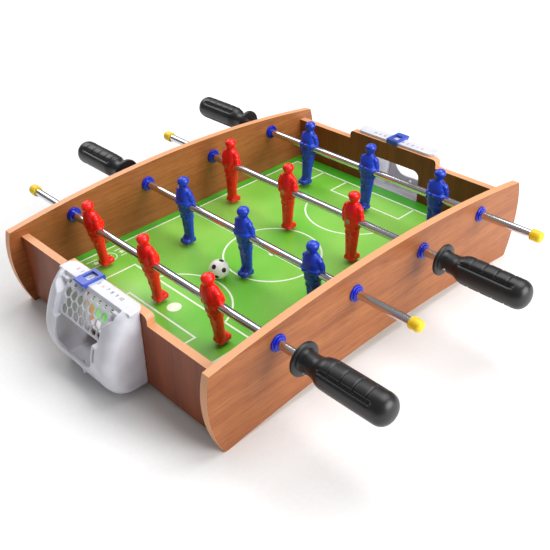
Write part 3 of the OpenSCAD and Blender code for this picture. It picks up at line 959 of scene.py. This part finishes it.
    def digits(self) -> None:
        """Numbers 0 to 10 along the score bar, read from behind the goal."""
        inks = {0: RED_INK, 6: ORANGE_INK}
        for number in range(11):
            text = bpy.data.curves.new(f"{self.node}_digit_{number}", "FONT")
            text.body = str(number)
            text.size = self.digit_size * MM
            text.align_x, text.align_y = "CENTER", "CENTER"
            text.extrude = 0.02 * MM
            text.materials.append(inks.get(number, BLACK_INK).material())
            label = bpy.data.objects.new(f"{self.node}_digit_{number}", text)
            bpy.context.scene.collection.objects.link(label)
            across = self.scale_start - number * self.scale_step
            spot = Vector((-(self.board_face + 1.5), across, self.top + 0.05)) * MM
            turn = Matrix.Identity(4) if self.side < 0 else Matrix.Rotation(math.pi, 4, "Z")
            label.matrix_world = turn @ Matrix.Translation(spot) @ Matrix.Rotation(-math.pi / 2, 4, "Z")
            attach(label, "table")

    def build(self) -> None:
        """Mould the goal, set its scale and dress its score slider."""
        goal = new_object(f"{self.node}_moulding", self.body())
        cut(goal, [self.tray(), *self.recess(), *self.window(), *self.holes()])
        rib_x = smooth_lookup(self.shell, 20) - self.lip - 2
        rib = prism([(-1.2, 10), (1.2, 10), (1.2, 25), (-1.2, 25)], along_x, rib_x, rib_x + 3)
        reach = self.mouth_half - 0.05
        sill_face = [(-reach, 25.05), (reach, 25.05), (reach, 28.0), (-reach, 28.0)]
        extra = joined("extra", [self.score_bar(), rib, prism(sill_face, along_x, -8.0, 3.0)])
        whole = joined(f"{self.node}_moulding", [goal.data, extra.data])
        fuse(whole, 0.6, 5)
        turn = 0.0 if self.side > 0 else math.pi
        out_to_board = Matrix.Translation((self.board_face * MM, 0, 0))
        whole.data.transform(Matrix.Rotation(turn, 4, "Z") @ out_to_board)
        dress(whole, GOAL_ABS)
        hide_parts(self.node)
        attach(whole, "table")
        self.digits()
        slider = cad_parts["score_slider_left" if self.side < 0 else "score_slider_right"]
        shade(slider, 30)
        dress(slider, SLIDER_ABS)
        soft = slider.modifiers.new("soft_edge", "BEVEL")
        soft.width = 0.4 * MM
        soft.segments = 3
        soft.limit_method = "ANGLE"
        LOG.info("moulded %s with %d faces", self.node, len(whole.data.polygons))


# ---------------------------------------------------------------- figures


def blob(centre: Point3, radii: Point3, turn: Point3 = (0.0, 0.0, 0.0)) -> bpy.types.Mesh:
    """Ellipsoid with the given half sizes, turned by angles in degrees.

    Args:
        centre: Middle of the ellipsoid in millimetres.
        radii: Half sizes in millimetres.
        turn: Angles about X, Y and Z in degrees.

    Returns:
        A closed mesh.
    """
    ball = bmesh.new()
    bmesh.ops.create_icosphere(ball, subdivisions=4, radius=1.0)
    angles = Euler([math.radians(a) for a in turn]).to_matrix().to_4x4()
    size = Matrix.Diagonal((*(r * MM for r in radii), 1.0))
    placed = Matrix.Translation(Vector(centre) * MM) @ angles @ size
    bmesh.ops.transform(ball, matrix=placed, verts=ball.verts)
    mesh = bpy.data.meshes.new("blob")
    ball.to_mesh(mesh)
    ball.free()
    return mesh


def limb(path: Sequence[tuple[Point3, float]]) -> list[bpy.types.Mesh]:
    """Chain of tapered round bars with round joints.

    Args:
        path: Points with the radius at each.

    Returns:
        Closed meshes that overlap along the chain.
    """
    parts = []
    for (a, ra), (b, rb) in zip(path, path[1:]):
        start, end = Vector(a), Vector(b)
        turn = (end - start).to_track_quat("Z", "X")
        rings = []
        for t in range(5):
            r = ra + (rb - ra) * t / 4
            middle = start.lerp(end, t / 4)
            rings.append([tuple(middle + turn @ Vector((x, y, 0))) for x, y in arc(0, 0, r, 0, 345, 23)])
        parts.append(skin(rings))
        parts.append(blob(b, (rb, rb, rb)))
    first, radius = path[0]
    parts.append(blob(first, (radius, radius, radius)))
    return parts


@dataclass
class Figure:
    """Moulded player, sculpted once for each colour and placed on the rods.

    The figure faces +X and its rod runs through the origin along Y.
    """

    name: str
    finish: Finish
    detail: float = 0.5

    def head(self) -> list[bpy.types.Mesh]:
        """Rounded head with a hair cap, brow, nose, chin and ears on a short neck."""
        parts = [
            blob((0.1, 0, 25.5), (6.0, 5.9, 5.3)),
            blob((-0.5, 0, 26.2), (6.1, 6.0, 4.5)),
            blob((-1.4, 0, 23.6), (4.4, 4.6, 3.4)),
            blob((2.6, 0, 22.4), (2.8, 3.0, 2.2)),
            blob((5.4, 0, 24.9), (0.9, 0.8, 1.2)),
            blob((4.5, 0, 27.6), (1.4, 3.6, 0.7)),
            *limb([((-0.1, 0, 15.5), 4.9), ((0.1, 0, 21.5), 4.1)]),
        ]
        for s in (-1, 1):
            parts.append(blob((-0.2, s * 5.5, 25.2), (1.3, 0.8, 1.7)))
            parts.append(blob((4.85, s * 1.9, 25.9), (0.55, 0.8, 0.5)))
        return parts

    def torso(self) -> list[bpy.types.Mesh]:
        """Shirt from shoulders to hem, with a collar and folds over the waist."""
        sections = [
            (0.0, -9.4, 6.8, 7.9), (0.0, -8.4, 7.3, 8.5), (0.1, -4.0, 7.2, 8.5), (0.2, 0.5, 7.6, 9.1),
            (0.4, 6.0, 7.9, 9.8), (0.5, 10.5, 7.4, 9.8), (0.3, 14.0, 6.3, 8.8), (0.1, 16.8, 5.2, 7.0),
            (0.0, 18.6, 4.3, 5.0),
        ]
        rings = []
        for x, z, a, b in sections:
            ring = []
            for step in range(36):
                t = math.tau * step / 36
                c, s = (math.copysign(abs(v) ** 0.8, v) for v in (math.cos(t), math.sin(t)))
                ring.append((x + a * c, b * s, z))
            rings.append(ring)
        collar = limb([((0, -2.8, 18.6), 1.3), ((3.6, 0, 16.6), 1.2), ((0, 2.8, 18.6), 1.3)])
        folds = [blob((5.2, s * 3.2, -3.2), (2.6, 3.2, 0.8), (s * 24, 0, 0)) for s in (-1, 1)]
        return [skin(rings), *collar, *folds]

    def arms(self) -> list[bpy.types.Mesh]:
        """Arms bent at the elbow with the hands held together in front."""
        parts = []
        for s in (-1, 1):
            parts.append(blob((0.0, s * 8.0, 13.8), (3.8, 3.1, 3.2)))
            elbow = (-1.4, s * 10.3, 3.8)
            parts += limb([((0.0, s * 8.9, 12.8), 3.1), ((-1.3, s * 10.1, 7.6), 2.95), (elbow, 2.8)])
            parts.append(blob((-0.8, s * 9.8, 9.4), (3.6, 3.1, 1.2), (s * 6, 0, 0)))
            parts += limb([(elbow, 2.75), ((4.6, s * 8.2, 3.0), 2.5), ((8.0, s * 3.4, 3.8), 2.1)])
            parts.append(blob((8.2, s * 2.0, 4.0), (1.8, 2.1, 1.8)))
        return parts

    def legs(self) -> list[bpy.types.Mesh]:
        """Shorts, two legs moulded side by side, sock tops and compact boots."""
        parts = [blob((0.0, 0, -11.0), (6.6, 7.7, 5.0))]
        for s in (-1, 1):
            parts += limb(
                [
                    ((0.0, s * 3.5, -9.5), 4.6),
                    ((0.1, s * 3.3, -20.0), 4.3),
                    ((0.1, s * 3.1, -30.0), 3.8),
                    ((0.1, s * 3.0, -38.5), 3.5),
                ]
            )
            parts.append(blob((0.1, s * 2.9, -25.0), (4.7, 3.4, 5.0)))
            parts.append(blob((0.1, s * 3.4, -14.5), (5.9, 4.2, 5.4)))
            parts.append(blob((0.1, s * 2.9, -33.2), (4.1, 3.5, 0.9)))
            parts.append(blob((5.0, s * 3.0, -43.1), (4.8, 3.3, 2.8)))
            parts.append(blob((-1.5, s * 2.9, -43.0), (3.6, 3.0, 3.0)))
            parts.append(blob((1.0, s * 2.8, -40.4), (5.2, 3.3, 3.4)))
        half = [(-4.6, -5.0), (-2.5, -5.8), (7.8, -6.0), (9.6, -4.4)]
        sole = half + [(x, -y) for x, y in reversed(half)]
        parts.append(prism(sole, along_z, -45.9, -42.0))
        parts.append(prism([(-4.2, -2.6), (4.2, -2.6), (4.2, 2.6), (-4.2, 2.6)], along_z, -43, -12))
        return parts

    def hub(self) -> list[bpy.types.Mesh]:
        """Boss round the rod and the raised ring round the screw in the back."""
        tube = arc(0, 0, 5.8, 0, 352, 44)
        edges = ((-7.9, 3.5), (-7.9, 2.6), (-3.0, 2.6), (-3.0, 3.5), (-7.9, 3.5))
        ring = [[(x, a, b) for a, b in arc(0, 0, r, 0, 350, 35)] for x, r in edges]
        return [prism(tube, along_y, -9.6, 9.6), skin(ring, capped=False)]

    def sculpt(self) -> bpy.types.Mesh:
        """Melt all parts into one moulded skin.

        Returns:
            The figure's mesh, ready to be placed.
        """
        lump = joined(self.name, [*self.head(), *self.torso(), *self.arms(), *self.legs(), *self.hub()])
        fuse(lump, self.detail, 3)
        dress(lump, self.finish)
        mesh = lump.data
        bpy.data.objects.remove(lump)
        LOG.info("sculpted %s with %d faces", self.name, len(mesh.polygons))
        return mesh


# ---------------------------------------------------------------- rods


class Team(Enum):
    """Which side a rod belongs to: its handle's side and its figures' facing."""

    RED = 0
    BLUE = math.pi


@dataclass
class Handle:
    """Black grip with a collar: four panels, two of them ringed, with a ridged groove between."""

    length: float = 90.0
    collar_r: float = 15.25
    collar_t: float = 3.5
    grip_r: float = 13.5
    grip_start: float = 29.0
    tip: float = 12.0
    bore_r: float = 4.05
    ring_first: float = 33.5
    ring_step: float = 12.25
    rings: int = 4
    around: int = 144
    profile: tuple[Point2, ...] = (
        (3.6, 10.6), (4.4, 9.9), (6.5, 9.5), (12.0, 9.4), (16.0, 9.6), (19.0, 10.4),
        (22.0, 11.9), (25.5, 13.2), (30.0, 13.5), (45.0, 13.6), (65.0, 13.6), (78.0, 13.5),
    )

    def radius(self, s: float) -> float:
        """Radius of the plain turned form at a distance s from the collar's face."""
        if s < self.collar_t:
            edge = 1.2
            dip = max(edge - s, s - (self.collar_t - edge), 0.0)
            return self.collar_r - edge + math.sqrt(max(edge**2 - dip**2, 0.0))
        if s > self.length - self.tip:
            t = (s - (self.length - self.tip)) / self.tip
            return self.grip_r * max(1 - t**2.6, 0.0) ** (1 / 2.2)
        return smooth_lookup(self.profile, s)

    def carved(self, s: float, angle: float) -> float:
        """Radius with the grooves cut in.

        Args:
            s: Distance from the collar's face.
            angle: Angle round the grip in degrees.

        Returns:
            Distance from the rod's axis.
        """
        r = self.radius(s)
        to_groove = ((angle - 45) % 90 + 45) % 90 - 45
        off = math.radians(to_groove) * self.grip_r
        start, stop = 22.0, self.length - 12.0
        fade = min(max((s - start) / 4, 0.0), 1.0) * min(max((stop - s) / 4, 0.0), 1.0)
        r -= 2.0 * fade * math.exp(-((off / 1.9) ** 2)) - 1.5 * fade * math.exp(-((off / 0.5) ** 2))
        ringed = abs((angle + 90) % 180 - 90) < 45 - 6
        if ringed and s > self.grip_start:
            for k in range(self.rings):
                near = (s - self.ring_first - k * self.ring_step) / 0.65
                r -= 1.15 * math.exp(-(near**2))
        return r

    def mesh(self) -> bpy.types.Mesh:
        """Build the grip along -Y from its collar at the origin, open round the rod's bore.

        Returns:
            A closed mesh.
        """
        fine = [0.0, 0.15, 0.4, 0.8, 1.2, 2.3, 2.7, 3.1, 3.35, 3.5, 3.6, 4.0, 4.6, 5.5, 6.5]
        s = 7.5
        while s < self.length - self.tip:
            fine.append(s)
            close = min(abs(s - self.ring_first - k * self.ring_step) for k in range(self.rings))
            s += 0.22 if close < 1.6 else 0.9
        fine += [self.length - self.tip * (1 - t / 14) ** 1.6 for t in range(0, 14)]
        rings = [[(self.bore_r * math.sin(t), -8.0, self.bore_r * math.cos(t)) for t in self.turns()]]
        rings.append([(self.bore_r * math.sin(t), 0.0, self.bore_r * math.cos(t)) for t in self.turns()])
        for s in fine:
            ring = []
            for t in self.turns():
                r = self.carved(s, math.degrees(t))
                ring.append((r * math.sin(t), -s, r * math.cos(t)))
            rings.append(ring)
        last = 0.35
        rings.append([(last * math.sin(t), -self.length, last * math.cos(t)) for t in self.turns()])
        return skin(rings)

    def turns(self) -> list[float]:
        """Angles round the grip, from the top."""
        return [math.tau * i / self.around for i in range(self.around)]

    def build(self) -> bpy.types.Mesh:
        """Make the grip with its screw well.

        Returns:
            The grip's mesh in the rod's own frame, its collar's face at the origin.
        """
        grip = new_object("grip", self.mesh())
        well = prism(arc(0, 0, 2.4, 0, 350, 35), along_x, -13.0, -8.6)
        well.transform(Matrix.Translation((0, -9.5 * MM, 0)) @ Matrix.Rotation(math.radians(-25), 4, "Y"))
        cut(grip, [well])
        shade(grip, 50)
        dress(grip, HANDLE_PP)
        mesh = grip.data
        bpy.data.objects.remove(grip)
        LOG.info("moulded the grip with %d faces", len(mesh.polygons))
        return mesh


@dataclass
class RodSet:
    """One rod with its handle, cap, bushings, figures and screws."""

    number: int
    spin: float
    figure: bpy.types.Mesh
    grip: bpy.types.Mesh

    @property
    def team(self) -> Team:
        """Odd rods are red, even rods are blue."""
        return Team.RED if self.number % 2 else Team.BLUE

    @property
    def body(self) -> str:
        """Name of the body that slides with the rod."""
        return f"rod_set_{self.number}"

    @property
    def colour_slot(self) -> str:
        """Record slot of the figures."""
        return "red_plastic" if self.team is Team.RED else "blue_plastic"

    def placed(self, along: float) -> Matrix:
        """Place of a piece on the rod: along in metres on Y, turned with the rod."""
        low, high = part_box(f"rod_{self.number}")
        x, z = (low[0] + high[0]) / 2, (low[2] + high[2]) / 2
        spun = Matrix.Rotation(math.radians(self.spin), 4, "Y")
        return Matrix.Translation((x, along, z)) @ spun @ Matrix.Rotation(self.team.value, 4, "Z")

    def finish_carried(self) -> None:
        """Dress the pieces whose CAD shape is already right."""
        n = self.number
        finishes = {
            f"rod_{n}": ROD_CHROME,
            f"end_cap_{n}": CAP_PE,
            f"bushing_{n}_near": BUSHING_NYLON,
            f"bushing_{n}_far": BUSHING_NYLON,
            f"bushing_rings_{n}": BUSHING_NYLON,
            f"player_screws_{n}": SCREW_ZINC,
            f"handle_screw_{n}": SCREW_ZINC,
        }
        for node, finish in finishes.items():
            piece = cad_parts[node]
            shade(piece, 32)
            dress(piece, finish)
            LOG.info("dressed %s with %s", node, finish.name)

    def add_handle(self) -> None:
        """Stand a carved grip in for the plain one."""
        node = f"handle_{self.number}"
        low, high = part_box(node)
        collar = high[1] if self.team is Team.RED else low[1]
        grip = new_object(f"grip_{self.number}", self.grip)
        grip.matrix_world = self.placed(collar)
        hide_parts(node)
        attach(grip, self.body)
        LOG.info("placed %s", grip.name)

    def add_figures(self) -> None:
        """Put the three figures in the places of the CAD players."""
        for place in ("near", "middle", "far"):
            node = f"player_{self.number}_{place}"
            low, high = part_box(node)
            figure = new_object(f"figure_{self.number}_{place}", self.figure)
            figure.matrix_world = self.placed((low[1] + high[1]) / 2)
            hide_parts(node)
            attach(figure, self.body)
            LOG.info("placed %s", figure.name)

    def build(self) -> None:
        """Dress and build everything on the rod."""
        self.finish_carried()
        self.add_handle()
        self.add_figures()


@dataclass
class Ball:
    """The ball on the pitch."""

    def dress(self) -> None:
        """Paint spots round the middle of the CAD ball."""
        low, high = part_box("ball")
        centre = tuple((a + b) / 2 for a, b in zip(low, high))
        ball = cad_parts["ball"]
        shade(ball, 60)
        dress(ball, BallPaint("painted_ball", centre))
        LOG.info("painted the ball")


# ---------------------------------------------------------------- studio


@dataclass
class SoftLight:
    """A square soft box that looks at the middle of the object."""

    name: str
    place: Point3
    size: float
    watts: float
    colour: str = "#FFFFFF"

    def build(self) -> None:
        """Hang the light."""
        lamp = bpy.data.lights.new(self.name, "AREA")
        lamp.energy = self.watts
        lamp.size = self.size
        lamp.color = linear(self.colour)[:3]
        holder = bpy.data.objects.new(self.name, lamp)
        holder.location = self.place
        aim = Vector((0, 0, 0.04)) - Vector(self.place)
        holder.rotation_euler = aim.to_track_quat("-Z", "Y").to_euler()
        bpy.context.scene.collection.objects.link(holder)


@dataclass
class Studio:
    """Pale floor, soft lights and the camera."""

    camera_at: Point3 = (-0.46779, -0.50647, 0.46597)
    looks_along: Point3 = (0.5625, 0.6092, -0.5590)
    roll: float = -2.169
    lens: float = 50.66
    shift: Point2 = (0.00345, -0.0006)
    floor_half: float = 6.0
    ambient: float = 0.3
    lights: tuple[SoftLight, ...] = (
        SoftLight("overhead_box", (0.6, -0.1, 1.6), 1.3, 21.0),
        SoftLight("front_box", (0.55, -1.95, 0.95), 1.5, 50.0),
        SoftLight("back_box", (0.2, 1.6, 1.5), 1.2, 16.0),
    )

    def build(self) -> None:
        """Set up floor, light and camera."""
        half = self.floor_half / MM
        corners = [(-half, -half, 0), (half, -half, 0), (half, half, 0), (-half, half, 0)]
        sheet = mesh_from("floor", corners, [(0, 1, 2, 3)])
        floor = new_object("floor", sheet)
        dress(floor, StudioPaper("studio_paper"))
        for light in self.lights:
            light.build()
        world = bpy.data.worlds.new("studio")
        world.use_nodes = True
        tree = world.node_tree
        place = add_node(tree, "ShaderNodeTexCoord")
        parts = add_node(tree, "ShaderNodeSeparateXYZ", inputs={0: place.outputs["Generated"]})
        sky = add_node(
            tree,
            "ShaderNodeValToRGB",
            inputs={"Fac": parts.outputs["Z"]},
            stops=((0.0, "#8C8C8C"), (0.35, "#E8E8E8"), (0.7, "#FFFFFF")),
        )
        background = tree.nodes["Background"]
        background.inputs["Strength"].default_value = self.ambient
        tree.links.new(sky.outputs["Color"], background.inputs["Color"])
        scene = bpy.context.scene
        scene.world = world
        scene.view_settings.view_transform = "Standard"
        self.add_camera(scene)

    def add_camera(self, scene: bpy.types.Scene) -> None:
        """Stand the camera where it sees the whole game from above its left corner."""
        data = bpy.data.cameras.new("camera")
        data.lens = self.lens
        data.sensor_width = 36.0
        data.shift_x, data.shift_y = self.shift
        camera = bpy.data.objects.new("camera", data)
        camera.location = self.camera_at
        aim = Vector(self.looks_along).to_track_quat("-Z", "Y")
        rolled = aim @ Quaternion((0, 0, 1), math.radians(self.roll))
        camera.rotation_euler = rolled.to_euler()
        scene.collection.objects.link(camera)
        scene.camera = camera


def main() -> None:
    """Build every sub-assembly in order."""
    logging.basicConfig(level=logging.INFO, format="%(name)s: %(message)s")
    Box().dress()
    Pitch().build()
    for side in (-1, 1):
        Goal(side).build()
    red = Figure("red_figure", RED_ABS).sculpt()
    blue = Figure("blue_figure", BLUE_ABS).sculpt()
    grip = Handle().build()
    for number, spin in ((1, -6.0), (2, -1.0), (3, 3.0), (4, 6.0)):
        RodSet(number, spin, red if number % 2 else blue, grip).build()
    Ball().dress()
    Studio().build()


if __name__ == "__main__":
    main()
